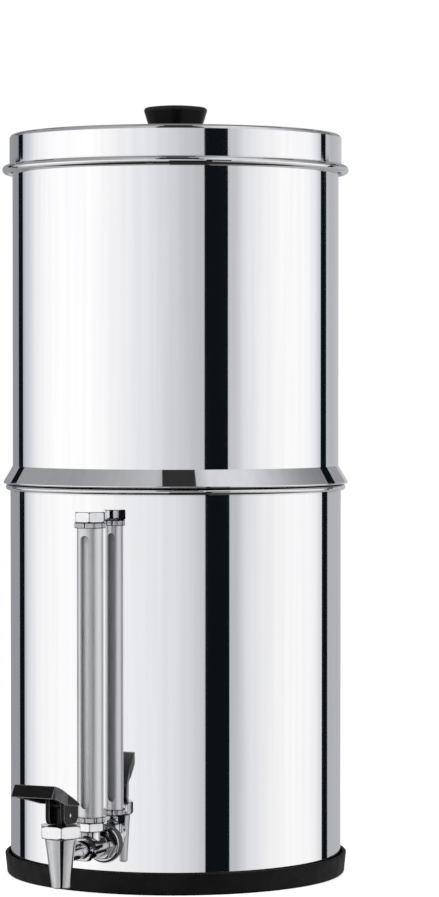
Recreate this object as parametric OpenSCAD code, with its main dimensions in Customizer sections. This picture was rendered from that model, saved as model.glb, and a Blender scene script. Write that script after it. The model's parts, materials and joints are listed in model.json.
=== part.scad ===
// Gravity water filter: two stacked steel chambers, a lid, two filter elements,
// a lever tap and a sight gauge. The tap looks along -Y. The origin is on the
// chambers' axis, on the floor.

/* [Chambers] */
// Outside diameter of the lower chamber
lower_d = 213.6; // [196:0.2:236]
// Height of the lower chamber's rim above the floor
lower_top = 251.1; // [220:0.1:290]
// Thickness of the steel sheet
sheet_t = 0.8; // [0.6:0.1:1]
// Radial clearance of the upper chamber inside the lower one
nest_gap = 0.8; // [0.5:0.1:1.4]
// Depth of the upper chamber's foot below its ledge
nest_depth = 22.5; // [18:0.1:32]
// Height of the upper chamber above its ledge
upper_h = 223.2; // [190:0.1:260]
// Radius of the rounded edge at the foot of each chamber
foot_round = 6; // [4:0.5:9]
// Radius of the lower chamber's rolled rim
rim_r = 1.9; // [1.8:0.1:3]
// Radius of the upper chamber's inward rolled rim
mouth_r = 1.9; // [1.6:0.1:2.4]

/* [Ledge] */
// How far the ledge stands out from the upper chamber
ledge_out = 6; // [5:0.2:8]
// Height of the ledge
ledge_h = 10.2; // [8:0.1:15]
// Radius of the ledge's outer edge
ledge_round = 0.9; // [0.9:0.1:1.6]

/* [Lid] */
// Radial clearance of the lid's skirt around the upper chamber
lid_gap = 1.1; // [0.9:0.1:1.8]
// Height of the lid's skirt, rolled edge included
lid_h = 25.2; // [18:0.2:36]
// Rise of the lid's crown
lid_crown = 2.5; // [1:0.1:6]
// Radius of the lid's shoulder
lid_round = 2.6; // [2.4:0.1:2.8]
// Radius of the lid's rolled edge
hem_r = 2.7; // [2:0.1:3]

/* [Knob] */
// Diameter of the knob's rim
knob_d = 40.8; // [32:0.2:52]
// Diameter of the knob's foot
knob_foot_d = 32.6; // [28:0.2:40]
// Height of the knob
knob_h = 16.8; // [13:0.1:24]
// Diameter of the knob's screw
knob_screw_d = 4; // [3:0.5:5]

/* [Base ring] */
// Height of the rubber base ring
ring_h = 13.5; // [12:0.5:20]
// Thickness of the ring's wall at its top
ring_wall = 2.1; // [1.6:0.1:4]
// Gap between the ring's wall and the chamber
ring_gap = 1.5; // [0.6:0.1:3]
// Thickness of the ring under the chamber
ring_floor = 3.9; // [2.5:0.1:6]
// Width of the ring's foot
ring_foot = 14; // [10:0.5:24]

/* [Filters] */
// Diameter of a filter element
filter_d = 56; // [44:1:64]
// Free height above the filter elements
filter_headroom = 56; // [40:1:90]
// Diameter of the circle through the four stem holes
stem_circle_d = 100; // [88:1:116]
// Diameter of a filter's threaded stem
stem_d = 9.6; // [8:0.2:12]
// Height of a filter's base cup
cup_h = 13; // [10:0.5:18]
// Thickness of a stem seal
stem_seal_t = 3; // [2:0.5:4]
// Diameter of a stem seal
stem_seal_d = 22; // [20:0.5:26]

/* [Tap] */
// Height of the tap's inlet above the floor
tap_z = 31; // [29:0.5:50]
// Distance of the spout's axis from the chamber's wall
spout_off = 60.9; // [57:0.1:75]
// Diameter of the inlet's shank
shank_d = 12; // [11:0.5:14]
// Diameter of the tap's seals
tap_seal_d = 23.6; // [23:0.2:28]
// Thickness of the tap's seals
tap_seal_t = 2; // [1.5:0.25:3]
// Size of the wall nuts across their flats
wall_nut_af = 17; // [16:0.2:20]
// Diameter of the tee's barrel
barrel_d = 14.6; // [14:0.2:16]
// Diameter of the spout at its lower end
spout_tip_d = 11.2; // [10.6:0.2:13]
// Diameter of the spout under the bonnet
spout_top_d = 19.5; // [19:0.1:21]
// Length of the spout below the inlet's axis
spout_drop = 19.3; // [15:0.1:24]
// Size of the bonnet across its flats
bonnet_af = 23.4; // [22.6:0.2:26]
// Height of the bonnet
bonnet_h = 7.7; // [7:0.1:10]

/* [Lever] */
// Reach of the lever from the spout's axis
lever_reach = 39.5; // [32:0.5:48]
// Width of the lever's finger plate
lever_w = 27; // [22:0.5:36]
// Height of the lever's front edge above the bonnet
lever_rise = 27.5; // [25:0.1:32]
// Height of the lever's front lip
lip_h = 7; // [6:0.5:9]
// Thickness of each lever ear
ear_t = 2.6; // [2:0.1:3.4]
// Diameter of the lever's pin
pin_d = 2.7; // [2:0.1:3]
// Diameter of the valve's stem
valve_stem_d = 6.8; // [6:0.1:7.2]

/* [Gauge] */
// Distance of the gauge's axis from the chamber's wall
gauge_off = 20; // [19:0.1:22]
// Outside diameter of the gauge's guard tube
guard_d = 16.3; // [15:0.1:17]
// Wall of the guard tube
guard_t = 0.8; // [0.6:0.1:1]
// Width of the guard's viewing slots
slot_w = 6; // [4:0.2:8]
// Outside diameter of the sight tube
glass_d = 10; // [9:0.1:10.4]
// Wall of the sight tube
glass_t = 1.2; // [0.8:0.1:1.6]
// Depth of the gauge's top below the lower rim
gauge_drop = 13.7; // [8:0.1:60]

/* [Hidden] */
$fn = 96;
SMALL = 48;         // facets of small round parts
FINE = 720;         // facets of the wall where the tap's seals meet it
HALF_TURN = 180;
FULL_TURN = 360;

// clearances
rest_gap = 0.3;     // between stacked bodies at rest
fit_gap = 0.1;      // between assembled parts of one body
run_gap = 0.06;     // between a pin or shaft and its hole

// colours
STEEL = [0.80, 0.80, 0.82];
CHROME = [0.86, 0.86, 0.88];
BLACK = [0.06, 0.06, 0.065];
CARBON = [0.12, 0.12, 0.125];
WHITE = [0.90, 0.90, 0.88];
SILICONE = [0.30, 0.31, 0.32];
CLEAR = [0.85, 0.90, 0.92, 0.35];

// chambers
lower_r = lower_d / 2;
floor_z = ring_floor + fit_gap;
upper_r = lower_r - sheet_t - nest_gap;
ledge_z = lower_top + rest_gap;
upper_z = ledge_z - nest_depth;
mouth_z = ledge_z + upper_h;
ledge_r = upper_r + ledge_out;
ledge_root = 0.8;   // fillet where the ledge meets the wall below it
ledge_ease = 1.2;   // fillet where the ledge meets the wall above it

// lid
lid_edge_z = mouth_z + rest_gap + sheet_t;
lid_r = upper_r + lid_gap + sheet_t;
hem_core = hem_r - sheet_t;
crown_z = lid_edge_z + lid_crown;

// filters
plate_z = upper_z + sheet_t;
stem_circle_r = stem_circle_d / 2;
cup_z = plate_z + stem_seal_t;
cup_r = filter_d / 2 + 2;
element_z = cup_z + cup_h / 2;
filter_top = mouth_z - filter_headroom;
cap_h = 8;
cap_lip = 2;
stem_hole_r = stem_d / 2 + 0.3;
washer_t = 1.6;
nut_hub_h = 8;
nut_gap = fit_gap;
stem_end_z = upper_z - washer_t - nut_hub_h - 2 * nut_gap - 3;
LEFT = HALF_TURN;
RIGHT = 0;
PLUGS = [90, 270];
STEMS = [0, 90, 180, 270];

// tap
wall_in = -sheet_t;                         // wall's inner face, along the tap's axis
flange_t = 1.5;
wall_nut_h = 4.5;
back_nut_h = 5.5;
outer_nut_e = tap_seal_t + flange_t + 2 * fit_gap;
barrel_e = outer_nut_e + wall_nut_h + fit_gap;
inner_sag = 1.4;                            // how far the inner seal's flat back stands off the wall
inner_washer_e = wall_in - tap_seal_t - inner_sag - fit_gap;
back_nut_e = inner_washer_e - flange_t - fit_gap;
shank_end_e = back_nut_e - back_nut_h - 4;
shank_r = shank_d / 2;
shank_bore_r = 3.6;
shank_hole_r = shank_r + 0.2;
barrel_end_e = gauge_off + 7;
tee_thread_r = 5.6;
coupling_af = 14;
coupling_h = 5;
coupling_seal_t = 0.8;
inlet_r = 5.2;
inlet_bore_r = 3.2;
inlet_e = barrel_end_e + 2.2 + coupling_seal_t + 2 * fit_gap;

// valve, all heights above the floor
spout_z = tap_z - spout_drop;
bonnet_z = tap_z + 11.3;
bonnet_top = bonnet_z + bonnet_h;
bonnet_plate = 2.2;
neck_r = 8.6;
neck_top = bonnet_top - bonnet_plate - fit_gap;
valve_r = 6.8;
seat_z = tap_z - 4.6;
outlet_r = 4;
cup_seat_r = 5.9;
valve_stem_r = valve_stem_d / 2;
foot_r = 3.4;
foot_h = 1.6;
foot_z = seat_z + 1.6;
shin_r = 2.4;
seat_cup_top = tap_z + 1.4;
collar_z = seat_cup_top + rest_gap;
collar_h = 1.8;
collar_r = 5.4;
spring_wire = 1;
spring_r = 4.7;
spring_turns = 4;

// lever
pin_z = bonnet_top + 5.8;
pin_r = pin_d / 2;
ear_in = valve_stem_r + 0.35;
ear_out = ear_in + ear_t;
ear_z = bonnet_top + rest_gap;
ear_front = 8;
ear_back = 11;
ear_corner = 4.5;
ear_top = bonnet_top + 18.5;
ear_fall = 8;                               // how much lower each ear's rear top corner lies
brace_x = 11;                               // where the lever's underside bends
brace_z = bonnet_top + 13.5;
lever_back = 12;
lever_back_z = bonnet_top + 11.7;
lever_top_z = bonnet_top + lever_rise;
lip_rake = 5;
lever_shell = 2.2;
stem_top = pin_z + 4.4;

// gauge
socket_z = tap_z + 10.3;
socket_hex_h = 5.4;
socket_af = 16.2;
gauge_ring_z = socket_z + socket_hex_h;
gauge_ring_h = 3.4;
gauge_ring_r = guard_d / 2 + 1.5;
gauge_top = lower_top - gauge_drop;
gauge_cap_h = 6.5;
gauge_cap_af = 17.6;
gauge_cap_z = gauge_top - gauge_cap_h;
upper_ring_z = gauge_cap_z - gauge_ring_h;
guard_in = guard_d / 2 - guard_t;
spigot_r = guard_in - fit_gap;
spigot_h = 4.5;
glass_r = glass_d / 2;
glass_seat = 2.5;
seal_h = 2;
slot_low_inset = 8.6;
slot_high_inset = 7.9;
branch_r = 6;
branch_thread_r = 4.2;
branch_bore_z = tap_z + 4.5;                // floor of the branch's threaded bore
branch_bore_r = 2.6;
hex_turn = 57.5;                            // a corner of the bonnet nut faces the front right
gauge_turn = 52.5;                          // and a corner of the gauge's cap and socket

// ---- profiles -------------------------------------------------------------

// points on an arc about (x, y)
function arc(x, y, r, from, to, steps = 10) =
    [for (i = [0:steps]) let (a = from + (to - from) * i / steps) [x + r * cos(a), y + r * sin(a)]];

function left_normal(a, b) = let (d = (b - a) / norm(b - a)) [-d[1], d[0]];

// the point that lies t to the left of corner i of a path
function beside(p, i, t) =
    let (
        last = len(p) - 1,
        n1 = left_normal(p[max(i - 1, 0)], p[max(i, 1)]),
        n2 = left_normal(p[min(i, last - 1)], p[min(i + 1, last)]),
        m = (n1 + n2) / norm(n1 + n2)
    )
    p[i] + m * t / (m * n1);

// sheet of thickness t on the left of a path, turned about Z
module spun_sheet(p, t) {
    far_side = [for (i = [len(p) - 1:-1:0]) beside(p, i, t)];
    rotate_extrude() polygon(concat(p, far_side));
}

module ring(r_in, r_out, h) {
    rotate_extrude() translate([r_in, 0]) square([r_out - r_in, h]);
}

// hexagonal blank whose corners are chamfered at both ends
module hex(af, h, chamfer = 1) {
    corner_r = af / sqrt(3);
    dip = chamfer * 0.6;
    intersection() {
        linear_extrude(h) circle(r = corner_r, $fn = 6);
        rotate_extrude()
            polygon([
                [0, 0], [corner_r - chamfer, 0], [corner_r, dip],
                [corner_r, h - dip], [corner_r - chamfer, h], [0, h]
            ]);
    }
}

module hex_nut(af, h, bore_r) {
    difference() {
        hex(af, h);
        translate([0, 0, -1]) cylinder(r = bore_r, h = h + 2, $fn = SMALL);
    }
}

// ---- places ---------------------------------------------------------------

// local +Z runs outwards along the tap's inlet, from the wall's outer face
module on_inlet() {
    translate([0, -lower_r, tap_z]) rotate([90, 0, 0]) children();
}

module on_spout() {
    translate([0, -lower_r - spout_off, 0]) children();
}

module on_gauge() {
    translate([0, -lower_r - gauge_off, 0]) children();
}

module at_stem(angle) {
    rotate([0, 0, angle]) translate([stem_circle_r, 0, 0]) rotate([0, 0, -angle]) children();
}

// ---- chambers and lid -----------------------------------------------------

module base_ring() {
    inner_r = lower_r + ring_gap;
    top_r = inner_r + ring_wall;
    foot_r = top_r - 1.3;
    bed_r = lower_r - foot_round;
    bed_z = floor_z + foot_round;
    color(BLACK)
        rotate_extrude()
        polygon(concat(
            [[lower_r + fit_gap - ring_foot, 0], [foot_r - 1, 0], [foot_r, 1]],
            [[top_r, ring_h - 0.6], [top_r - 0.6, ring_h]],
            [[inner_r + 0.4, ring_h], [inner_r, ring_h - 0.4]],
            [[inner_r, bed_z - 0.5]],
            arc(bed_r, bed_z, foot_round + fit_gap, -10, -90),
            [[lower_r + fit_gap - ring_foot, ring_floor]]
        ));
}

module lower_chamber() {
    roll = rim_r - sheet_t;
    path = concat(
        [[0, floor_z]],
        arc(lower_r - foot_round, floor_z + foot_round, foot_round, -90, 0),
        arc(lower_r + roll, lower_top - rim_r, roll, 180, -115, 24)
    );
    color(STEEL)
        difference() {
            rotate_extrude() polygon(closed_sheet(path));
            on_inlet() translate([0, 0, -5]) cylinder(r = shank_hole_r, h = 10, $fn = SMALL);
        }
}

// outline of a sheet of the chambers' thickness on the left of a path
function closed_sheet(p) = concat(p, [for (i = [len(p) - 1:-1:0]) beside(p, i, sheet_t)]);

module upper_chamber() {
    cone_out = ledge_out - ledge_round;
    cone_rise = ledge_h - ledge_round;
    // the cone leaves the ledge's round edge at this angle
    lean = atan2(cone_out, cone_rise);
    tip_x = ledge_r - ledge_round;
    path = concat(
        [[0, upper_z]],
        arc(upper_r - foot_round, upper_z + foot_round, foot_round, -90, 0),
        arc(upper_r + ledge_root, ledge_z - ledge_root, ledge_root, 180, 90, 6),
        arc(tip_x, ledge_z + ledge_round, ledge_round, -90, lean, 12),
        [[upper_r, ledge_z + ledge_h + ledge_ease]],
        arc(upper_r - mouth_r, mouth_z - mouth_r, mouth_r, 0, 250, 20)
    );
    color(STEEL)
        difference() {
            rotate_extrude() polygon(closed_sheet(path));
            for (a = STEMS)
                at_stem(a) translate([0, 0, upper_z - 1])
                    cylinder(r = stem_hole_r, h = sheet_t + 2, $fn = SMALL);
        }
}

module lid() {
    flat_r = lid_r - lid_round;
    steps = 16;
    crown = [for (i = [0:steps]) let (s = i / steps) [flat_r * s, lid_edge_z + lid_crown * (1 - s * s)]];
    // the shoulder starts square to the crown's slope at its edge
    slope = atan2(2 * lid_crown, flat_r);
    shoulder = arc(flat_r, lid_edge_z - lid_round, lid_round, 90 - slope, 0);
    hem_end = HALF_TURN + 295;
    hem = arc(lid_r + hem_core, lid_edge_z - lid_h + hem_r, hem_core, HALF_TURN, hem_end, 24);
    path = concat(crown, shoulder, hem);
    far_side = [for (i = [len(path) - 1:-1:0]) beside(path, i, -sheet_t)];
    color(STEEL)
        difference() {
            rotate_extrude() polygon(concat(path, [for (p = far_side) [max(p[0], 0), p[1]]]));
            translate([0, 0, crown_z - 5]) cylinder(r = knob_screw_d / 2 + 0.2, h = 10, $fn = SMALL);
        }
}

module lid_knob() {
    rim_r_top = knob_d / 2;
    foot = knob_foot_d / 2;
    z0 = crown_z + fit_gap;
    z1 = crown_z + knob_h;
    edge = 2;
    dome = 1.3;
    boss_r = knob_screw_d / 2 + 3.5;
    color(BLACK)
        rotate_extrude()
        polygon(concat(
            [[knob_screw_d / 2 + fit_gap, z0], [boss_r, z0], [boss_r, z1 - 6], [foot - 3, z1 - 6]],
            [[foot - 2.4, z0], [foot, z0]],
            arc(rim_r_top - edge, z1 - dome - edge, edge, -15, 84, 8),
            [for (s = [0.8, 0.6, 0.4, 0.2, 0]) [(rim_r_top - edge) * s, z1 - dome * s * s]],
            [[0, z1 - 5], [knob_screw_d / 2 + fit_gap, z1 - 5]]
        ));
}

module knob_washer() {
    color(STEEL)
        translate([0, 0, crown_z - sheet_t - fit_gap - 1])
        ring(knob_screw_d / 2 + fit_gap, knob_screw_d + 2.5, 1);
}

module knob_screw() {
    head_h = 2.6;
    head_z = crown_z - sheet_t - 2 * fit_gap - 1 - head_h;
    shaft_top = crown_z + knob_h - 5.5;
    color(CHROME)
        difference() {
            union() {
                translate([0, 0, head_z]) cylinder(r = knob_screw_d, h = head_h, $fn = SMALL);
                translate([0, 0, head_z])
                    cylinder(r = knob_screw_d / 2, h = shaft_top - head_z, $fn = SMALL);
            }
            for (a = [0, 90])
                rotate([0, 0, a])
                translate([-knob_screw_d * 0.6, -0.5, head_z - 1])
                cube([knob_screw_d * 1.2, 1, 2.2]);
        }
}

// ---- filters --------------------------------------------------------------

// carbon block, seated in its base cup
module filter_element(angle) {
    color(CARBON)
        at_stem(angle)
        translate([0, 0, element_z + fit_gap])
        difference() {
            cylinder(r = filter_d / 2, h = filter_top - cap_h - fit_gap - element_z);
            translate([0, 0, -1]) cylinder(r = 7, h = filter_top - element_z - 26, $fn = SMALL);
        }
}

module filter_cup(angle) {
    color(BLACK)
        at_stem(angle)
        difference() {
            union() {
                translate([0, 0, cup_z]) cylinder(r = cup_r, h = cup_h);
                translate([0, 0, stem_end_z])
                    cylinder(r = stem_d / 2, h = cup_z - stem_end_z + 1, $fn = SMALL);
            }
            translate([0, 0, element_z]) cylinder(r = filter_d / 2 + fit_gap, h = cup_h);
            translate([0, 0, stem_end_z - 1])
                cylinder(r = stem_d / 2 - 2, h = element_z - stem_end_z + 2, $fn = SMALL);
        }
}

module filter_cap(angle) {
    skirt_z = filter_top - cap_h - 6;
    outer = filter_d / 2 + cap_lip;
    color(BLACK)
        at_stem(angle)
        rotate_extrude()
        polygon(concat(
            [[0, filter_top - cap_h], [filter_d / 2 + fit_gap, filter_top - cap_h]],
            [[filter_d / 2 + fit_gap, skirt_z], [outer, skirt_z]],
            arc(outer - 4, filter_top - 4, 4, 0, 90, 6),
            [[0, filter_top]]
        ));
}

module blanking_plugs() {
    head_h = 4;
    head_lip = 1;
    color(BLACK)
        for (a = PLUGS)
            at_stem(a) {
                translate([0, 0, cup_z]) cylinder(r = stem_seal_d / 2 + head_lip, h = head_h, $fn = SMALL);
                translate([0, 0, stem_end_z])
                    cylinder(r = stem_d / 2, h = cup_z - stem_end_z + 1, $fn = SMALL);
            }
}

module stem_seals() {
    color(SILICONE)
        for (a = STEMS)
            at_stem(a) translate([0, 0, plate_z]) ring(stem_d / 2 + fit_gap, stem_seal_d / 2, stem_seal_t);
}

module stem_washers() {
    color(WHITE)
        for (a = STEMS)
            at_stem(a)
                translate([0, 0, upper_z - washer_t - fit_gap])
                ring(stem_d / 2 + fit_gap, stem_seal_d / 2 - 1, washer_t);
}

module wing_nuts() {
    hub_r = stem_d / 2 + 3;
    wing_w = 9;
    wing_t = 3;
    z0 = upper_z - washer_t - nut_hub_h - 2 * nut_gap;
    color(BLACK)
        for (a = STEMS)
            at_stem(a)
                translate([0, 0, z0])
                difference() {
                    union() {
                        cylinder(r = hub_r, h = nut_hub_h, $fn = SMALL);
                        for (side = [0, HALF_TURN])
                            rotate([0, 0, side + a])
                            translate([hub_r - 1.5, wing_t / 2, 0])
                            rotate([90, 0, 0])
                            linear_extrude(wing_t)
                            polygon(concat([[0, nut_hub_h - 1], [0, 1]], arc(wing_w - 3, 0, 3.5, -60, 90, 8)));
                    }
                    translate([0, 0, -4])
                        cylinder(r = stem_d / 2 + fit_gap, h = nut_hub_h + 8, $fn = SMALL);
                }
}

// ---- tap: what passes through the wall ------------------------------------

module tap_outer_seal() {
    color(SILICONE)
        difference() {
            on_inlet() translate([0, 0, -2]) ring(shank_r + fit_gap, tap_seal_d / 2, tap_seal_t + 2);
            cylinder(r = lower_r, h = lower_top, $fn = FINE);
        }
}

module tap_inner_seal() {
    color(SILICONE)
        intersection() {
            on_inlet()
                translate([0, 0, wall_in - tap_seal_t - inner_sag])
                ring(shank_r + fit_gap, tap_seal_d / 2, tap_seal_t + inner_sag + 1);
            cylinder(r = lower_r - sheet_t, h = lower_top, $fn = FINE);
        }
}

module tap_flange() {
    color(CHROME)
        on_inlet()
        translate([0, 0, tap_seal_t + fit_gap])
        rotate_extrude()
        polygon([
            [shank_r + fit_gap, 0], [tap_seal_d / 2 - 0.3, 0], [tap_seal_d / 2 - 0.3, 0.7],
            [tap_seal_d / 2 - 1.1, flange_t], [shank_r + fit_gap, flange_t]
        ]);
}

module wall_nut() {
    color(CHROME) on_inlet() translate([0, 0, outer_nut_e])
        hex_nut(wall_nut_af, wall_nut_h, shank_r + fit_gap);
}

module tap_inner_washer() {
    color(STEEL)
        on_inlet()
        translate([0, 0, inner_washer_e - flange_t])
        ring(shank_r + fit_gap, tap_seal_d / 2 - 1, flange_t);
}

module back_nut() {
    color(CHROME)
        on_inlet() translate([0, 0, back_nut_e - back_nut_h - fit_gap])
            hex_nut(wall_nut_af, back_nut_h, shank_r + fit_gap);
}

// barrel with the shank through the wall and the branch up to the gauge
module tee_body() {
    color(CHROME)
        difference() {
            union() {
                on_inlet() translate([0, 0, shank_end_e])
                    cylinder(r = shank_r, h = barrel_e - shank_end_e + 1, $fn = SMALL);
                on_inlet() translate([0, 0, barrel_e])
                    cylinder(r = barrel_d / 2, h = barrel_end_e - barrel_e, $fn = SMALL);
                on_inlet() translate([0, 0, barrel_end_e - 1])
                    cylinder(r = tee_thread_r, h = 3, $fn = SMALL);
                on_gauge() translate([0, 0, tap_z])
                    cylinder(r = branch_r, h = socket_z - tap_z - fit_gap, $fn = SMALL);
            }
            on_inlet() translate([0, 0, shank_end_e - 1])
                cylinder(r = shank_bore_r, h = barrel_end_e - shank_end_e + 4, $fn = SMALL);
            on_gauge()
                translate([0, 0, branch_bore_z])
                cylinder(r = branch_thread_r + fit_gap, h = socket_z - branch_bore_z, $fn = SMALL);
            on_gauge() translate([0, 0, tap_z])
                cylinder(r = branch_bore_r, h = socket_z - tap_z, $fn = SMALL);
        }
}

module coupling_nut() {
    front = barrel_end_e + fit_gap;
    color(CHROME)
        on_inlet()
        translate([0, 0, front])
        difference() {
            hex(coupling_af, coupling_h, 0.8);
            translate([0, 0, -1])
                cylinder(r = tee_thread_r + fit_gap, h = 3.2 + fit_gap + coupling_seal_t, $fn = SMALL);
            translate([0, 0, -1]) cylinder(r = inlet_r + fit_gap, h = coupling_h + 2, $fn = SMALL);
        }
}

module coupling_seal() {
    color(SILICONE)
        on_inlet() translate([0, 0, barrel_end_e + 2 + fit_gap]) ring(shank_bore_r, inlet_r, coupling_seal_t);
}

// ---- tap: body and valve --------------------------------------------------

module tap_body() {
    color(CHROME)
        difference() {
            union() {
                on_spout()
                    rotate_extrude()
                    polygon([
                        [0, spout_z], [spout_tip_d / 2 - 0.5, spout_z], [spout_tip_d / 2, spout_z + 0.5],
                        [spout_top_d / 2 - 0.9, bonnet_z - 6], [spout_top_d / 2, bonnet_z - 0.6],
                        [spout_top_d / 2 - 0.3, bonnet_z - fit_gap], [neck_r, bonnet_z - fit_gap],
                        [neck_r, neck_top], [0, neck_top]
                    ]);
                on_inlet() translate([0, 0, inlet_e])
                    cylinder(r = inlet_r, h = spout_off - inlet_e, $fn = SMALL);
            }
            on_spout() translate([0, 0, spout_z - 1])
                cylinder(r = outlet_r, h = seat_z - spout_z + 2, $fn = SMALL);
            on_spout() translate([0, 0, seat_z])
                cylinder(r = valve_r, h = neck_top - seat_z + 1, $fn = SMALL);
            on_inlet() translate([0, 0, inlet_e - 1])
                cylinder(r = inlet_bore_r, h = spout_off - inlet_e + 1, $fn = SMALL);
        }
}

module bonnet_nut() {
    color(CHROME)
        on_spout()
        translate([0, 0, bonnet_z])
        difference() {
            rotate([0, 0, hex_turn]) hex(bonnet_af, bonnet_h, 1.4);
            translate([0, 0, -1])
                cylinder(r = neck_r + fit_gap, h = bonnet_h - bonnet_plate + 1, $fn = SMALL);
            translate([0, 0, -1]) cylinder(r = valve_stem_r + run_gap, h = bonnet_h + 2, $fn = SMALL);
        }
}

// silicone cup that closes the outlet and holds the stem's foot
module seat_cup() {
    pocket = run_gap + 0.04;
    color(SILICONE)
        on_spout()
        difference() {
            rotate_extrude()
                polygon([
                    [0, seat_z + rest_gap], [outlet_r + 0.8, seat_z + rest_gap], [cup_seat_r, seat_z + 2],
                    [cup_seat_r - 0.5, seat_cup_top - 1], [shin_r + 1.6, seat_cup_top], [0, seat_cup_top]
                ]);
            translate([0, 0, foot_z - pocket])
                cylinder(r = foot_r + pocket, h = foot_h + 2 * pocket, $fn = SMALL);
            translate([0, 0, foot_z]) cylinder(r = shin_r + pocket, h = 10, $fn = SMALL);
        }
}

module valve_stem() {
    color(WHITE)
        on_spout()
        difference() {
            union() {
                translate([0, 0, foot_z]) cylinder(r = foot_r, h = foot_h, $fn = SMALL);
                translate([0, 0, foot_z]) cylinder(r = shin_r, h = collar_z - foot_z + 1, $fn = SMALL);
                translate([0, 0, collar_z]) cylinder(r = collar_r, h = collar_h, $fn = SMALL);
                translate([0, 0, collar_z])
                    cylinder(r = valve_stem_r, h = stem_top - collar_z, $fn = SMALL);
            }
            translate([-10, 0, pin_z]) rotate([0, 90, 0])
                cylinder(r = pin_r + fit_gap / 2, h = 20, $fn = SMALL);
        }
}

// one unbroken helix of round wire between the stem's collar and the bonnet
module valve_spring() {
    low = collar_z + collar_h + spring_wire / 2 + fit_gap;
    high = bonnet_top - bonnet_plate - spring_wire / 2 - fit_gap;
    sides = 6;
    rings_a_turn = 12;
    rings = spring_turns * rings_a_turn;
    points = [
        for (i = [0:rings], k = [0:sides - 1])
            let (
                a = FULL_TURN * i / rings_a_turn,
                b = FULL_TURN * k / sides,
                r = spring_r + spring_wire / 2 * cos(b),
                z = low + (high - low) * i / rings + spring_wire / 2 * sin(b)
            )
            [r * cos(a), r * sin(a), z]
    ];
    walls = [
        for (i = [0:rings - 1], k = [0:sides - 1], half = [0, 1])
            let (
                a = i * sides + k,
                b = i * sides + (k + 1) % sides,
                c = a + sides,
                d = b + sides
            )
            half == 0 ? [a, c, b] : [b, c, d]
    ];
    first = [for (k = [1:sides - 2]) [0, k, k + 1]];
    base = rings * sides;
    last = [for (k = [1:sides - 2]) [base, base + k + 1, base + k]];
    color(CHROME) on_spout() polyhedron(points, concat(walls, first, last));
}

module lever_pin() {
    half = ear_out + 0.2;
    color(CHROME)
        on_spout()
        translate([-half, 0, pin_z])
        rotate([0, 90, 0])
        cylinder(r = pin_r, h = 2 * half, $fn = SMALL);
}

// side view of the lever's shell, reach along +X and height along +Y
module lever_side(inset) {
    steps = 8;
    bow = 0.45;
    back = -lever_back + inset;
    front = lever_reach - lip_rake - inset;
    rise = lever_top_z - lever_back_z;
    polygon(concat(
        [for (i = [0:steps]) let (u = i / steps)
            [back + (front - back) * u, lever_back_z + rise * u * (1 + bow - bow * u) - 1.1 * inset]],
        [[lever_reach - inset, lever_top_z - lip_h - 3 * inset]],
        [[lever_reach - 5, lever_top_z - lip_h - 0.6 - 3 * inset]],
        [[brace_x, brace_z - 3 * inset], [back, lever_back_z - 1.5 - 3 * inset]]
    ));
}

// plan of the lever's shell, reach along +X
module lever_plan(inset) {
    w = lever_w / 2 - inset;
    back_w = ear_out + 0.4 - inset;
    waist_x = brace_x - 5;
    polygon([
        [-lever_back, -back_w], [waist_x, -back_w - 1], [lever_reach - 5, -w], [lever_reach + 1, -w],
        [lever_reach + 1, w], [lever_reach - 5, w], [waist_x, back_w + 1], [-lever_back, back_w]
    ]);
}

// the lever's shell or, with an inset, the hollow under it
module lever_block(inset) {
    intersection() {
        rotate([90, 0, 0]) translate([0, 0, -lever_w]) linear_extrude(2 * lever_w) lever_side(inset);
        linear_extrude(2 * lever_top_z) lever_plan(inset);
    }
}

// outline of one ear: flat foot, round corners
module ear_side() {
    low = ear_z + ear_corner;
    polygon(concat(
        [[ear_front, ear_top], [-ear_back, ear_top - ear_fall]],
        arc(ear_corner - ear_back, low, ear_corner, 180, 270, 8),
        arc(ear_front - ear_corner, low, ear_corner, 270, 360, 8)
    ));
}

module lever() {
    color(BLACK)
        on_spout()
        rotate([0, 0, -90])
        difference() {
            union() {
                difference() {
                    lever_block(0);
                    lever_block(lever_shell);
                }
                for (side = [-1, 1])
                    translate([0, side * (ear_in + ear_t / 2) + ear_t / 2, 0])
                    rotate([90, 0, 0])
                    linear_extrude(ear_t) ear_side();
            }
            translate([0, ear_out + 1, pin_z]) rotate([90, 0, 0])
                cylinder(r = pin_r + run_gap, h = 2 * ear_out + 2, $fn = SMALL);
            // room for the stem between the ears
            translate([0, 0, ear_z - 1]) cylinder(r = ear_in, h = stem_top + 0.5 - ear_z + 1, $fn = SMALL);
        }
}

// ---- gauge ----------------------------------------------------------------

// ring with fine upright flutes
module fluted_ring(z) {
    flutes = 28;
    depth = 0.35;
    steps = 4 * flutes;
    outline = [
        for (i = [0:steps - 1])
            let (
                a = FULL_TURN * i / steps,
                r = gauge_ring_r - depth * (i % 4 < 2 ? 0 : 1)
            )
            [r * cos(a), r * sin(a)]
    ];
    color(CHROME)
        on_gauge()
        translate([0, 0, z])
        difference() {
            linear_extrude(gauge_ring_h) polygon(outline);
            translate([0, 0, -1]) cylinder(r = guard_d / 2 + fit_gap, h = gauge_ring_h + 2, $fn = SMALL);
        }
}

module gauge_socket() {
    color(CHROME)
        on_gauge()
        difference() {
            union() {
                translate([0, 0, branch_bore_z + 0.5])
                    cylinder(r = branch_thread_r, h = socket_z - branch_bore_z, $fn = SMALL);
                translate([0, 0, socket_z]) rotate([0, 0, gauge_turn]) hex(socket_af, socket_hex_h, 0.8);
                translate([0, 0, gauge_ring_z - 1]) cylinder(r = spigot_r, h = spigot_h + 1, $fn = SMALL);
            }
            translate([0, 0, tap_z]) cylinder(r = 3, h = 60, $fn = SMALL);
            translate([0, 0, gauge_ring_z + spigot_h - glass_seat])
                cylinder(r = glass_r + fit_gap, h = 10, $fn = SMALL);
        }
}

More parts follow.
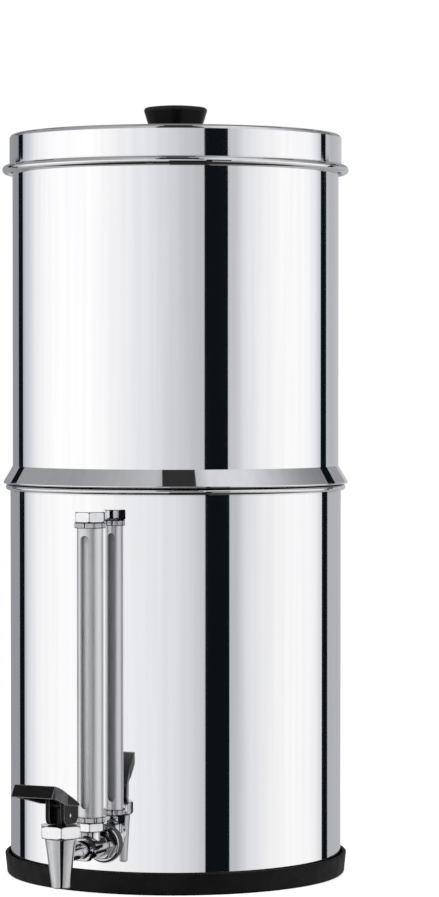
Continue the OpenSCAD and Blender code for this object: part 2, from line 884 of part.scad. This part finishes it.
module gauge_guard() {
    z0 = gauge_ring_z + fit_gap;
    z1 = gauge_cap_z - fit_gap;
    slot_low = z0 + slot_low_inset + slot_w / 2;
    slot_high = z1 - slot_high_inset - slot_w / 2;
    color(STEEL)
        on_gauge()
        difference() {
            translate([0, 0, z0]) ring(guard_in, guard_d / 2, z1 - z0);
            rotate([90, 0, 0])
                translate([0, 0, -guard_d]) {
                    translate([-slot_w / 2, slot_low, 0]) cube([slot_w, slot_high - slot_low, 2 * guard_d]);
                    for (z = [slot_low, slot_high])
                        translate([0, z, 0]) cylinder(r = slot_w / 2, h = 2 * guard_d, $fn = SMALL);
                }
        }
}

module gauge_glass() {
    z0 = gauge_ring_z + spigot_h - glass_seat + fit_gap;
    z1 = gauge_cap_z - spigot_h + glass_seat - fit_gap;
    color(CLEAR) on_gauge() translate([0, 0, z0]) ring(glass_r - glass_t, glass_r, z1 - z0);
}

module gauge_seal(z) {
    color(BLACK) on_gauge() translate([0, 0, z]) ring(glass_r + fit_gap / 2, guard_in - fit_gap, seal_h);
}

module gauge_cap() {
    color(CHROME)
        on_gauge()
        difference() {
            union() {
                translate([0, 0, gauge_cap_z]) rotate([0, 0, gauge_turn]) hex(gauge_cap_af, gauge_cap_h, 1);
                translate([0, 0, gauge_cap_z - spigot_h])
                    cylinder(r = spigot_r, h = spigot_h + 1, $fn = SMALL);
            }
            translate([0, 0, gauge_cap_z - spigot_h - 1]) cylinder(r = 3, h = spigot_h + 3, $fn = SMALL);
            translate([0, 0, gauge_cap_z - spigot_h - 1])
                cylinder(r = glass_r + fit_gap, h = glass_seat + 1, $fn = SMALL);
            cylinder(r = 0.8, h = gauge_top + 1, $fn = SMALL);
        }
}

// ---- nodes ----------------------------------------------------------------

base_ring();
lower_chamber();
upper_chamber();
lid();
lid_knob();
knob_washer();
knob_screw();
filter_element(LEFT);  // filter_element_left
filter_element(RIGHT);  // filter_element_right
filter_cup(LEFT);  // filter_cup_left
filter_cup(RIGHT);  // filter_cup_right
filter_cap(LEFT);  // filter_cap_left
filter_cap(RIGHT);  // filter_cap_right
blanking_plugs();
stem_seals();
stem_washers();
wing_nuts();
tap_outer_seal();
tap_flange();
wall_nut();
tee_body();
tap_inner_seal();
tap_inner_washer();
back_nut();
coupling_nut();
coupling_seal();
tap_body();
bonnet_nut();
seat_cup();
valve_stem();
valve_spring();
lever_pin();
lever();
gauge_socket();
fluted_ring(gauge_ring_z + fit_gap);  // gauge_lower_ring
gauge_guard();
gauge_glass();
gauge_seal(gauge_ring_z + spigot_h);  // gauge_lower_seal
gauge_seal(gauge_cap_z - spigot_h - seal_h);  // gauge_upper_seal
fluted_ring(upper_ring_z - fit_gap);  // gauge_upper_ring
gauge_cap();
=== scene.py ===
"""Looks of the gravity water filter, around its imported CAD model.

Metres, +Z up, origin on the floor on the chambers' axis, the tap along -Y.
"""

import json
import math

import bpy
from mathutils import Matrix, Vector

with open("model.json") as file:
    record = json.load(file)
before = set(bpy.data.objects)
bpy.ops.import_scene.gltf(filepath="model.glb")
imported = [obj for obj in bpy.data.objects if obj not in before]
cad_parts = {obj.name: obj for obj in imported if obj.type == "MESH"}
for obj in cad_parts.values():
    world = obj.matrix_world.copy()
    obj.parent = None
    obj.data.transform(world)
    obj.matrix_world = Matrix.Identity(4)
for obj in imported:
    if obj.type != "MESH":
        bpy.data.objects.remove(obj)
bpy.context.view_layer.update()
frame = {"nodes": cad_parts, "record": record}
NODES = frame["nodes"]

# ---- camera, as solved from the photograph --------------------------------

# in pixels of the photograph: its size, the focal length, and where the horizon and the
# chambers' axis lie
IMAGE_W, IMAGE_H = 439, 897
FOCAL_PX = 3400
HORIZON_Y = 375
AXIS_X = 175.7
# in metres, and turned so far to the right of the tap
CAMERA_DISTANCE = 2.2
CAMERA_HEIGHT = 0.3212
CAMERA_AZIMUTH = math.radians(24.45)
SENSOR_MM = 36


def make_camera():
    data = bpy.data.cameras.new("camera")
    data.sensor_fit = "VERTICAL"
    data.sensor_height = SENSOR_MM
    data.lens = FOCAL_PX / IMAGE_H * SENSOR_MM
    camera = bpy.data.objects.new("camera", data)
    bpy.context.scene.collection.objects.link(camera)
    tilt = math.atan((IMAGE_H / 2 - HORIZON_Y) / FOCAL_PX)
    yaw = math.atan((IMAGE_W / 2 - AXIS_X) / FOCAL_PX)
    camera.location = (
        CAMERA_DISTANCE * math.sin(CAMERA_AZIMUTH),
        -CAMERA_DISTANCE * math.cos(CAMERA_AZIMUTH),
        CAMERA_HEIGHT,
    )
    camera.rotation_euler = (math.pi / 2 - tilt, 0, CAMERA_AZIMUTH - yaw)
    bpy.context.scene.camera = camera


# ---- node helpers ----------------------------------------------------------


class Nodes:
    """A node tree, with short calls for sums and mixtures."""

    def __init__(self, tree):
        self.tree = tree

    def node(self, kind, **settings):
        n = self.tree.nodes.new(kind)
        for key, value in settings.items():
            setattr(n, key, value)
        return n

    def link(self, a, b):
        self.tree.links.new(a, b)

    def feed(self, socket, value):
        """gives a socket a constant, or the output of another node"""
        if isinstance(value, (int, float, tuple)):
            socket.default_value = value
        else:
            self.link(value, socket)

    def maths(self, operation, *values):
        n = self.node("ShaderNodeMath", operation=operation)
        for socket, value in zip(n.inputs, values):
            self.feed(socket, value)
        return n.outputs[0]

    def vector(self, operation, *values):
        n = self.node("ShaderNodeVectorMath", operation=operation)
        for socket, value in zip(n.inputs, values):
            self.feed(socket, value)
        return n.outputs["Value" if operation == "DOT_PRODUCT" else "Vector"]

    def spread(self, value, low, high, from_low, from_high):
        """low where value is from_low, high where it is from_high, even between and level beyond"""
        n = self.node("ShaderNodeMapRange")
        n.inputs["From Min"].default_value = from_low
        n.inputs["From Max"].default_value = from_high
        n.inputs["To Min"].default_value = low
        n.inputs["To Max"].default_value = high
        self.link(value, n.inputs["Value"])
        return n.outputs["Result"]

    def ease(self, value, low, high):
        """0 up to low, 1 from high on"""
        return self.spread(value, 0, 1, low, high)

    def blend(self, factor, a, b):
        """colour a where factor is 0, b where it is 1"""
        n = self.node("ShaderNodeMix", data_type="RGBA")
        self.link(factor, n.inputs["Factor"])
        self.feed(n.inputs[6], a)
        self.feed(n.inputs[7], b)
        return n.outputs[2]

    def choose(self, factor, a, b):
        """number a where factor is 0, b where it is 1"""
        n = self.node("ShaderNodeMix", data_type="FLOAT")
        self.link(factor, n.inputs["Factor"])
        self.feed(n.inputs["A"], a)
        self.feed(n.inputs["B"], b)
        return n.outputs["Result"]

    def ramp(self, degrees, stops):
        """colour by direction, from stops of degrees, grey level and tint"""
        n = self.node("ShaderNodeValToRGB")
        self.link(self.maths("MULTIPLY_ADD", degrees, 1 / 360, 0.5), n.inputs["Fac"])
        elements = n.color_ramp.elements
        elements.remove(elements[1])
        for i, (place, level, tint) in enumerate(stops):
            stop = elements[0] if i == 0 else elements.new(1)
            stop.position = (place + 180) / 360
            stop.color = (level * tint[0], level * tint[1], level * tint[2], 1)
        return n.outputs["Color"]

    def flags(self, degrees, spans):
        """1 inside the spans of degrees, 0 outside them"""
        total = 0
        for first, last in spans:
            begins = self.ease(degrees, first - FLAG_SOFT, first + FLAG_SOFT)
            ends = self.ease(degrees, last - FLAG_SOFT, last + FLAG_SOFT)
            total = self.maths("ADD", self.maths("SUBTRACT", begins, ends), total)
        return total

    def background(self, colour, strength=1):
        n = self.node("ShaderNodeBackground")
        self.feed(n.inputs["Color"], colour)
        self.feed(n.inputs["Strength"], strength)
        return n.outputs[0]

    def mix(self, factor, a, b):
        """shader a where factor is 0, b where it is 1"""
        n = self.node("ShaderNodeMixShader")
        self.link(factor, n.inputs[0])
        self.link(a, n.inputs[1])
        self.link(b, n.inputs[2])
        return n.outputs[0]


CREASE_SAMPLES = 8
# cosines between the eased and the true normal: on an edge, and off it
EDGE_DOTS = (0.965, 0.999)
# cosines between the normal and the way outward: on an inner wall, and off it
INNER_DOTS = (-0.9, -0.7)
# most of the noise lies between these
NOISE_SPAN = (0.35, 0.65)


class Shader(Nodes):
    """A material's node tree, with the textures and masks that these materials need."""

    def __init__(self, name):
        self.material = bpy.data.materials.new(name)
        self.material.use_nodes = True
        super().__init__(self.material.node_tree)
        self.principled = self.tree.nodes["Principled BSDF"]
        self.place = self.node("ShaderNodeTexCoord").outputs["Object"]

    def set(self, **values):
        for key, value in values.items():
            self.feed(self.principled.inputs[key.replace("_", " ")], value)

    def noise(self, scale, detail=3, stretch=(1, 1, 1)):
        mapping = self.node("ShaderNodeMapping")
        mapping.inputs["Scale"].default_value = stretch
        self.link(self.place, mapping.inputs["Vector"])
        n = self.node("ShaderNodeTexNoise")
        n.inputs["Scale"].default_value = scale
        n.inputs["Detail"].default_value = detail
        self.link(mapping.outputs["Vector"], n.inputs["Vector"])
        return n.outputs["Fac"]

    def vary(self, noise, low, high):
        """turns noise into a number between low and high"""
        return self.spread(noise, low, high, *NOISE_SPAN)

    def mottle(self, noise, low, high):
        """turns noise into a colour between low and high"""
        return self.blend(self.vary(noise, 0, 1), (*low, 1), (*high, 1))

    def open_space(self, distance, low, high):
        """0 in creases where no more than low of the space is open, 1 where high of it is"""
        n = self.node("ShaderNodeAmbientOcclusion", samples=CREASE_SAMPLES)
        n.inputs["Distance"].default_value = distance
        return self.ease(n.outputs["AO"], low, high)

    def off_edges(self, radius):
        """0 along sharp edges, 1 beyond radius from them"""
        n = self.node("ShaderNodeBevel", samples=CREASE_SAMPLES)
        n.inputs["Radius"].default_value = radius
        normal = self.node("ShaderNodeNewGeometry").outputs["Normal"]
        return self.ease(self.vector("DOT_PRODUCT", n.outputs["Normal"], normal), *EDGE_DOTS)

    def inner_walls(self):
        """1 where the surface faces the axis, 0 elsewhere"""
        g = self.node("ShaderNodeNewGeometry")
        outward = self.vector("MULTIPLY", g.outputs["Position"], (1, 1, 0))
        outward = self.vector("NORMALIZE", outward)
        facing = self.vector("DOT_PRODUCT", outward, g.outputs["Normal"])
        return self.spread(facing, 1, 0, *INNER_DOTS)

    def bump(self, value, height, distance):
        n = self.node("ShaderNodeBump")
        n.inputs["Strength"].default_value = height
        n.inputs["Distance"].default_value = distance
        self.link(value, n.inputs["Height"])
        self.link(n.outputs["Normal"], self.principled.inputs["Normal"])


# colours of the painted shade on metal in creases and along its edges, and of the painted highlight
# on plastic along its edges
PAINTED_SHADE = (0.004, 0.004, 0.004, 1)
PAINTED_EDGE_HIGHLIGHT = (0.14, 0.14, 0.145, 1)
# the chambers' satin insides
INSIDE_ROUGHNESS = 0.4
INSIDE_METALLIC = 0.3
# depths of the grain in metal and of the skin on plastic, metres
METAL_DEPTH = 0.0002
SKIN_DEPTH = 0.0004
# scales of the noise, in waves per metre
MOTTLE_SCALE = 60
SHEEN_SCALE = 140
MILKY_SCALE = 90


def metal(name, low, high, rough, grain, stretch, bump=0, creases=None, edge=None,
          satin_inside=False):
    """Metal, its colour and polish uneven along the grain, with painted shade in creases and along
    edges.
    """
    s = Shader(name)
    streaks = s.noise(grain, 4, stretch)
    colour = s.mottle(streaks, low, high)
    # painted shade: the colour goes dark in creases, where little space is open round the surface
    if creases:
        colour = s.blend(s.open_space(*creases), PAINTED_SHADE, colour)
    # painted shade: the colour goes dark along sharp edges
    if edge:
        colour = s.blend(s.off_edges(edge), PAINTED_SHADE, colour)
    polish = s.vary(streaks, *rough)
    s.set(Base_Color=colour, Metallic=1, Roughness=polish)
    if satin_inside:
        inside = s.inner_walls()
        s.set(Metallic=s.choose(inside, 1, INSIDE_METALLIC))
        s.set(Roughness=s.choose(inside, polish, INSIDE_ROUGHNESS))
    if bump:
        s.bump(streaks, bump, METAL_DEPTH)
    return s.material


def dull(name, low, high, rough, grain, bump, sheen=0.5, depth=SKIN_DEPTH, edge=None):
    """Moulded plastic or rubber: fine mottling, uneven sheen, a fine skin and painted highlights
    along edges.
    """
    s = Shader(name)
    colour = s.mottle(s.noise(MOTTLE_SCALE, 4), low, high)
    # painted highlight: the colour goes lighter along sharp edges
    if edge:
        colour = s.blend(s.off_edges(edge), PAINTED_EDGE_HIGHLIGHT, colour)
    s.set(Base_Color=colour, Specular_IOR_Level=sheen)
    s.set(Roughness=s.vary(s.noise(SHEEN_SCALE), *rough))
    s.bump(s.noise(grain), bump, depth)
    return s.material


def clear_tube(name):
    """Thin clear plastic that has gone slightly milky."""
    s = Shader(name)
    s.set(Base_Color=(0.78, 0.80, 0.81, 1), IOR=1.45, Alpha=0.6)
    s.set(Roughness=s.vary(s.noise(MILKY_SCALE, stretch=(1, 1, 0.1)), 0.04, 0.12))
    return s.material


def greys(*levels):
    return [(level, level, level) for level in levels]


# how the grain is stretched: drawn out along Z, a little less, and not at all
DRAWN = (1, 1, 0.02)
BRUSHED = (1, 1, 0.04)
EVEN = (1, 1, 1)
# metals: darkest and lightest colour, roughness, grain per metre, its stretch, and extras, among
# them the painted shade in creases and along edges
METALS = {
    "mirror_steel": ([(0.90, 0.90, 0.915), (0.95, 0.95, 0.96)], (0.02, 0.045), 220, DRAWN,
                     {"creases": (0.002, 0.2, 0.8), "satin_inside": True}),
    "satin_steel": ([(0.74, 0.74, 0.75), (0.86, 0.86, 0.87)], (0.32, 0.42), 500, BRUSHED,
                    {"bump": 0.15}),
    "chrome": ([(0.84, 0.84, 0.86), (0.92, 0.92, 0.94)], (0.03, 0.07), 160, EVEN,
               {"creases": (0.010, 0.35, 0.8), "edge": 0.0009}),
    "spring_steel": (greys(0.5, 0.65), (0.2, 0.35), 300, EVEN, {}),
}
# plastics and rubbers: darkest and lightest colour, roughness, grain per metre, its strength,
# and extras, among them the painted highlight along edges
DULL = {
    "black_rubber": (greys(0.003, 0.006), (0.45, 0.6), 900, 0.2, {"sheen": 0.15}),
    "black_plastic": ([(0.010, 0.010, 0.011), (0.016, 0.016, 0.017)], (0.35, 0.5), 1200, 0.12,
                      {"sheen": 0.3}),
    "gloss_black": (greys(0.003, 0.006), (0.2, 0.3), 1500, 0.06, {"sheen": 0.14, "edge": 0.0007}),
    "grey_silicone": ([(0.09, 0.09, 0.095), (0.13, 0.13, 0.135)], (0.45, 0.6), 700, 0.1, {}),
    "carbon": ([(0.02, 0.02, 0.021), (0.06, 0.06, 0.062)], (0.7, 0.9), 700, 0.8,
               {"sheen": 0.3, "depth": 0.001}),
    "white_plastic": ([(0.72, 0.72, 0.70), (0.8, 0.8, 0.78)], (0.35, 0.45), 900, 0.1, {}),
}


def make_materials():
    materials = {"clear_tube": clear_tube("clear_tube")}
    for name, (colours, rough, grain, stretch, extras) in METALS.items():
        materials[name] = metal(name, *colours, rough, grain, stretch, **extras)
    for name, (colours, rough, grain, bump, extras) in DULL.items():
        materials[name] = dull(name, *colours, rough, grain, bump, **extras)
    return materials


# ---- the studio ------------------------------------------------------------

# levels of the surroundings that the steel mirrors, by their place round the object from the
# camera's direction, positive to the camera's right: (degrees, grey, tint)
BLUE_GREY = (0.94, 0.97, 1.05)
WHITE = (1, 1, 1)
COOL = (0.975, 0.99, 1.03)
SURROUNDINGS = [
    (-180, 0.33, BLUE_GREY), (-147, 0.30, BLUE_GREY), (-137, 0.44, BLUE_GREY),
    (-130, 0.64, BLUE_GREY), (-125, 0.70, BLUE_GREY), (-116, 0.90, WHITE), (-95, 1.06, WHITE),
    (-62, 1.07, WHITE), (-43, 0.96, WHITE), (-17, 0.81, COOL), (0, 0.67, COOL), (19, 0.53, COOL),
    (37, 0.58, COOL), (42, 0.60, COOL), (50, 0.81, COOL), (66, 0.94, WHITE), (84, 1.02, WHITE),
    (105, 1.0, WHITE), (115, 0.89, COOL), (123, 0.60, COOL), (132, 0.56, COOL), (141, 0.48, COOL),
    (157, 0.52, COOL), (180, 0.60, COOL),
]
# the same below the camera's height, where the lower chamber looks
LOWER = [
    (-180, 0.33, BLUE_GREY), (-147, 0.33, BLUE_GREY), (-137, 0.36, BLUE_GREY),
    (-130, 0.72, BLUE_GREY), (-116, 0.93, WHITE), (-95, 1.02, WHITE), (-62, 1.02, WHITE),
    (-36, 0.91, WHITE), (-17, 0.86, COOL), (0, 0.78, COOL), (10, 0.70, COOL), (19, 0.58, COOL),
    (37, 0.54, COOL), (42, 0.56, COOL), (50, 0.78, COOL), (66, 0.90, WHITE), (84, 1.0, WHITE),
    (105, 1.0, WHITE), (115, 0.92, WHITE), (123, 0.74, COOL), (133, 0.46, COOL), (180, 0.50, COOL),
]
# higher up, where the ledge and the rolled edges look
SKY = [
    (-180, 0.32, COOL), (-88, 0.34, COOL), (-60, 0.41, COOL), (-20, 0.52, COOL), (-14, 0.44, COOL),
    (20.5, 0.52, COOL), (33, 0.70, COOL), (67, 0.72, COOL), (96, 0.46, COOL), (112, 0.31, COOL),
    (131, 0.22, COOL), (145, 0.33, COOL), (180, 0.31, COOL),
]
# and further down, where the spout and the undersides of the fittings look
LOW = [
    (-180, 0.30, WHITE), (-150, 0.27, WHITE), (-105, 0.55, WHITE), (-78, 0.72, WHITE),
    (-52, 0.53, WHITE), (-30, 0.44, WHITE), (-8, 0.50, WHITE), (20, 0.30, WHITE), (43, 0.38, WHITE),
    (67, 0.52, WHITE), (96, 0.60, WHITE), (122, 0.44, WHITE), (180, 0.30, WHITE),
]
# black flags between the white cards, from and to, in degrees, and how soft their edges are
LID_FLAGS = [(-145.7, -135.9), (19.8, 36.6), (123.6, 131.3)]
UPPER_FLAGS = [(-146.2, -136.6), (19.9, 36.7), (123.6, 130.1)]
LOWER_FLAGS = [(-146.2, -135.7), (19.7, 37.0), (123.9, 131.4)]
SKY_FLAGS = [(-151, -143), (134, 141.5)]
SKY_MIDDLE = [(-13.5, 19.5)]
LOW_FLAGS = [(-4.5, 25)]
FLAG_SOFT = 0.15
FLAG_COLOUR = (0.0036, 0.0062, 0.0075, 1)
SKY_MIDDLE_LEVEL = 0.031
# heights, as sines of the mirrored direction, between which one zone gives way to the next
SKY_FROM, SKY_TO = 0.10, 0.16
LOW_FROM, LOW_TO = -0.32, -0.20
ZENITH_FROM, ZENITH_TO = 0.93, 0.98
ZENITH_LEVEL = 0.12
GROUND_FROM, GROUND_TO = -0.75, -0.60
GROUND_LEVEL = 0.02
# the lid, the upper and the lower chamber differ in width, and the flags stand in one line
# on all three: above and below these heights the surroundings are stretched and shifted
LID_FROM, LID_STRETCH = 0.063, 1.018
LOWER_TO, LOWER_STRETCH, LOWER_SHIFT = -0.030, 1.0152, -0.006
# what lights the dull pieces from all round
FILL_LEVEL = 0.8


def grey(level):
    return (level, level, level, 1)


def make_world():
    """White to the camera, an even fill, and in the steel the studio's cards and flags."""
    world = bpy.data.worlds.new("studio")
    bpy.context.scene.world = world
    world.use_nodes = True
    t = Nodes(world.node_tree)
    world.node_tree.nodes.clear()
    split = t.node("ShaderNodeSeparateXYZ")
    t.link(t.node("ShaderNodeTexCoord").outputs["Generated"], split.inputs[0])
    x, y, z = split.outputs
    around = t.maths("ARCTAN2", x, t.maths("MULTIPLY", y, -1))
    turned = t.maths("WRAP", t.maths("SUBTRACT", around, CAMERA_AZIMUTH), math.pi, -math.pi)

    is_lid = t.maths("GREATER_THAN", z, LID_FROM)
    is_lower = t.maths("LESS_THAN", z, LOWER_TO)
    stretch = t.maths("MULTIPLY_ADD", is_lid, LID_STRETCH - 1, 1)
    stretch = t.maths("MULTIPLY_ADD", is_lower, LOWER_STRETCH - 1, stretch)
    across = t.maths("MULTIPLY", t.maths("SINE", t.maths("MULTIPLY", turned, 0.5)), stretch)
    across = t.maths("MULTIPLY_ADD", is_lower, LOWER_SHIFT, across)
    across = t.maths("MINIMUM", t.maths("MAXIMUM", across, -1), 1)
    on_wall = t.maths("MULTIPLY", t.maths("ARCSINE", across), math.degrees(2))
    around_sky = t.maths("MULTIPLY", turned, math.degrees(1))

    cards = t.ramp(on_wall, SURROUNDINGS)
    lid = t.blend(t.flags(on_wall, LID_FLAGS), cards, FLAG_COLOUR)
    upper = t.blend(t.flags(on_wall, UPPER_FLAGS), cards, FLAG_COLOUR)
    lower = t.blend(t.flags(on_wall, LOWER_FLAGS), t.ramp(on_wall, LOWER), FLAG_COLOUR)
    wall = t.blend(is_lower, t.blend(is_lid, upper, lid), lower)
    sky = t.blend(t.flags(around_sky, SKY_FLAGS), t.ramp(around_sky, SKY), FLAG_COLOUR)
    sky = t.blend(t.flags(around_sky, SKY_MIDDLE), sky, grey(SKY_MIDDLE_LEVEL))
    low = t.blend(t.flags(around_sky, LOW_FLAGS), t.ramp(around_sky, LOW), FLAG_COLOUR)
    seen = t.blend(t.ease(z, SKY_FROM, SKY_TO), wall, sky)
    seen = t.blend(t.ease(z, LOW_FROM, LOW_TO), low, seen)
    seen = t.blend(t.ease(z, ZENITH_FROM, ZENITH_TO), seen, grey(ZENITH_LEVEL))
    seen = t.blend(t.ease(z, GROUND_FROM, GROUND_TO), grey(GROUND_LEVEL), seen)

    rays = t.node("ShaderNodeLightPath").outputs
    lit = t.mix(rays["Is Glossy Ray"], t.background(grey(1), FILL_LEVEL), t.background(seen))
    straight = t.maths("MAXIMUM", rays["Is Camera Ray"], rays["Is Transmission Ray"])
    lit = t.mix(straight, lit, t.background(grey(1)))
    t.link(lit, t.node("ShaderNodeOutputWorld").inputs["Surface"])


FLOOR_SIZE = 12
FLOOR_LEVEL = 0.85
FLOOR_ROUGHNESS = 0.9
FLOOR_GLOW = 0.5


def make_floor():
    """White floor that keeps the object's shadow."""
    bpy.ops.mesh.primitive_plane_add(size=FLOOR_SIZE, location=(0, 0, 0))
    floor = bpy.context.object
    floor.name = "floor"
    floor.visible_glossy = False
    s = Shader("floor")
    seen = s.node("ShaderNodeLightPath").outputs["Is Camera Ray"]
    s.set(Base_Color=grey(FLOOR_LEVEL), Roughness=FLOOR_ROUGHNESS)
    s.set(Emission_Color=grey(1), Emission_Strength=s.maths("MULTIPLY", seen, FLOOR_GLOW))
    floor.data.materials.append(s.material)


# name, place round the object from the camera's direction (degrees), distance, height and
# size (metres), power (watts)
LAMPS = [
    ("key", -62, 1.6, 1.2, 1.0, 10),
    ("fill", 70, 1.8, 0.9, 1.2, 6),
    ("top", 0, 0.3, 2.0, 1.5, 10),
]
LAMP_AIM = (0, 0, 0.25)


def make_lamps():
    for name, degrees, distance, height, size, power in LAMPS:
        data = bpy.data.lights.new(name, "AREA")
        data.size = size
        data.energy = power
        lamp = bpy.data.objects.new(name, data)
        bpy.context.scene.collection.objects.link(lamp)
        turn = CAMERA_AZIMUTH + math.radians(degrees)
        lamp.location = (distance * math.sin(turn), -distance * math.cos(turn), height)
        aim = Vector(LAMP_AIM) - lamp.location
        lamp.rotation_euler = aim.to_track_quat("-Z", "Y").to_euler()
        lamp.visible_glossy = False


# width in metres to which the sharp edges of these moulded or turned pieces are eased
EASED = {
    "lever": 0.0003, "bonnet_nut": 0.0001, "gauge_socket": 0.0001, "gauge_cap": 0.0001,
    "coupling_nut": 0.0001, "wall_nut": 0.0001, "back_nut": 0.0001, "tap_body": 0.0002,
    "wing_nuts": 0.0004,
}
EASED_STEPS = 3
SHARP_ANGLE = math.radians(25)
# corners closer than this, in metres, are one corner
WELD_DISTANCE = 1e-6


def dress_nodes(materials):
    """Gives every piece its slot's material, and eases the sharp edges of some."""
    slots = {s["node"]: s["material_slot"] for s in frame["record"]["subparts"]}
    for name, obj in NODES.items():
        obj.data.materials.clear()
        obj.data.materials.append(materials[slots[name]])
        if name in EASED:
            weld = obj.modifiers.new("weld", "WELD")
            weld.merge_threshold = WELD_DISTANCE
            bevel = obj.modifiers.new("bevel", "BEVEL")
            bevel.width = EASED[name]
            bevel.segments = EASED_STEPS
            bevel.limit_method = "ANGLE"
            bevel.angle_limit = SHARP_ANGLE
            bevel.harden_normals = True


make_camera()
make_world()
make_floor()
make_lamps()
dress_nodes(make_materials())

bpy.context.scene.view_settings.view_transform = "Standard"
